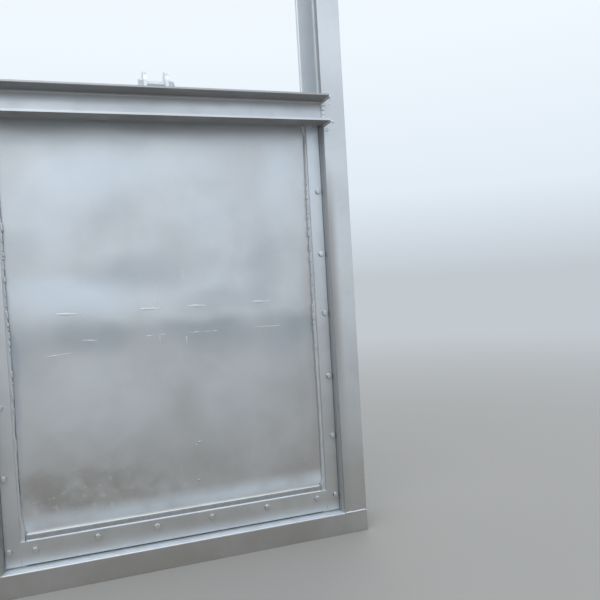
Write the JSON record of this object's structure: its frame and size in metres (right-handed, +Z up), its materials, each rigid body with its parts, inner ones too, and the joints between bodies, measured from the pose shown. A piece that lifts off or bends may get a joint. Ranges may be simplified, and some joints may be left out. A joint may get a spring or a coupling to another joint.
{
  "type": "sluice gate",
  "caption": "Welded steel sluice gate: a channel frame with a sill, crossbar and hoist seat, and a rubber-sealed plate leaf with lifting lugs that slides up in the posts.",
  "frame": {"origin": "on the back face of the sill, in the middle of its length and of its height", "axes": "+X to the right as seen from the front, +Y to the back of the gate, +Z up"},
  "size_m": [0.918, 0.2095, 2.29],
  "materials": {
    "frame_steel": "sprayed aluminium paint, semi-gloss, with weld spatter",
    "leaf_steel": "sprayed aluminium paint, semi-gloss, a little blotchy",
    "seal_rubber": "dark rubber under a thin coat of the same paint",
    "shoe_metal": "machined slide shoe",
    "bolt_metal": "painted bolt"
  },
  "bodies": {
    "frame": {"left_post": "frame_steel", "right_post": "frame_steel", "sill": "frame_steel", "crossbar": "frame_steel", "left_post_cap": "frame_steel", "right_post_cap": "frame_steel", "front_head_beam": "frame_steel", "back_head_beam": "frame_steel", "hoist_seat": "frame_steel", "seat_stiffeners": "frame_steel"},
    "leaf": {"face_plate": "leaf_steel", "left_side_strip": "leaf_steel", "right_side_strip": "leaf_steel", "bottom_strip": "leaf_steel", "top_strip": "leaf_steel", "left_side_seal": "seal_rubber", "right_side_seal": "seal_rubber", "bottom_seal": "seal_rubber", "top_seal": "seal_rubber", "left_end_beam": "leaf_steel", "right_end_beam": "leaf_steel", "top_beam": "leaf_steel", "middle_beam": "leaf_steel", "bottom_beam": "leaf_steel", "upper_rib": "leaf_steel", "lower_rib": "leaf_steel", "left_upper_shoe": "shoe_metal", "right_upper_shoe": "shoe_metal", "left_lower_shoe": "shoe_metal", "right_lower_shoe": "shoe_metal", "left_lug": "leaf_steel", "right_lug": "leaf_steel", "lug_bolt": "bolt_metal", "lug_nut": "bolt_metal"}
  },
  "joints": [
    {"name": "leaf_lift", "type": "slide", "parent": "frame", "child": "leaf", "axis": [0, 0, 1], "range_m": [0, 1]}
  ]
}
